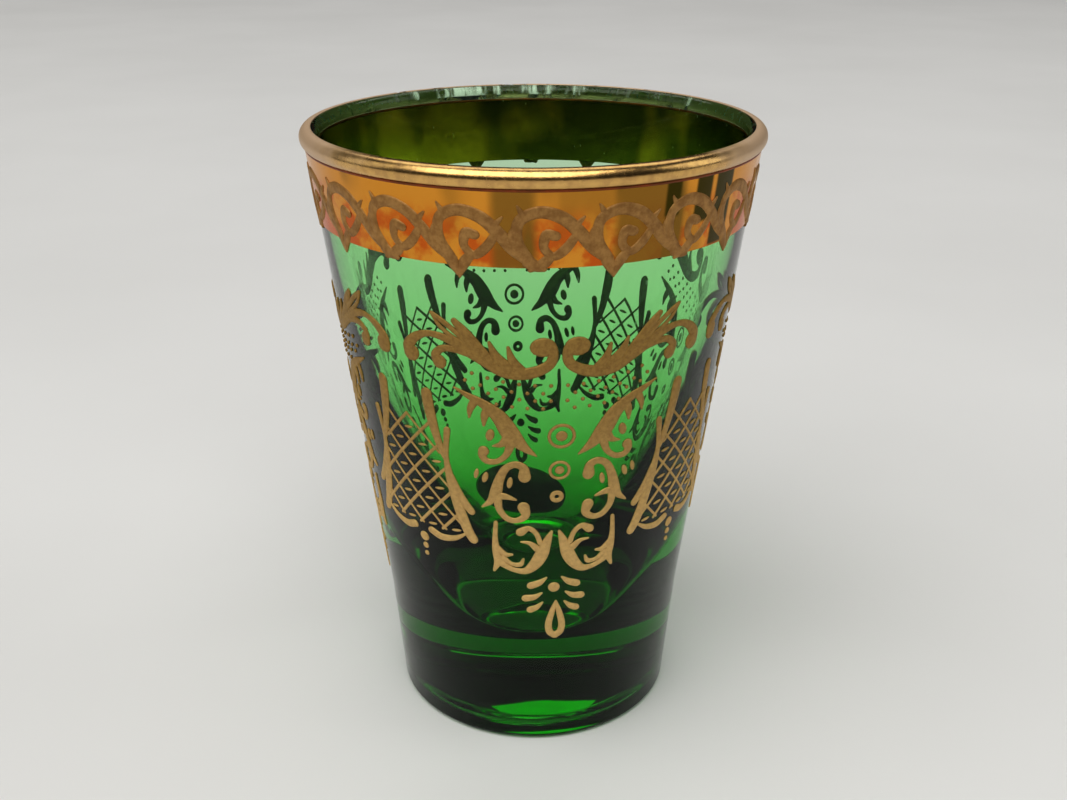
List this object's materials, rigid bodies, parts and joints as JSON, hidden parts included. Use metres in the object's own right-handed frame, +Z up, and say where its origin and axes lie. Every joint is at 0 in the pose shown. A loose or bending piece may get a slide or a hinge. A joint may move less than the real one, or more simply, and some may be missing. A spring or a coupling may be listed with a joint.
{
  "type": "shot glass",
  "caption": "Tapered souvenir shot glass in tinted glass with a heavy base, gilded lip and band, and raised gold scroll and basket ornament round the wall.",
  "frame": {"origin": "centre of the flat ring that the glass stands on", "axes": "+Z up through the mouth along the glass's axis of symmetry, -Y towards the viewer"},
  "size_m": [0.0452, 0.0452, 0.063],
  "materials": {
    "green_glass": "clear, tinted green",
    "bright_gold": "burnished, worn in places",
    "band_gold": "mirror bright",
    "crease_gold": "pooled, dark",
    "matt_gold": "matt, slightly raised",
    "scroll_gold": "matt, slightly raised",
    "label_paper": "dull paper"
  },
  "bodies": {
    "root": {"glass_tumbler": "green_glass", "lip_gilding": "bright_gold", "crease_line": "crease_gold", "gold_band": "band_gold", "band_scrollwork": "scroll_gold", "swag_scrolls": "matt_gold", "stipple_dots": "matt_gold", "acanthus_leaves": "matt_gold", "ring_columns": "matt_gold", "c_scrolls": "matt_gold", "w_scrolls": "matt_gold", "pendants": "matt_gold", "basket_frames": "matt_gold", "basket_lattice": "matt_gold", "basket_seeds": "matt_gold", "basket_drops": "matt_gold", "oval_label": "label_paper"}
  },
  "joints": []
}
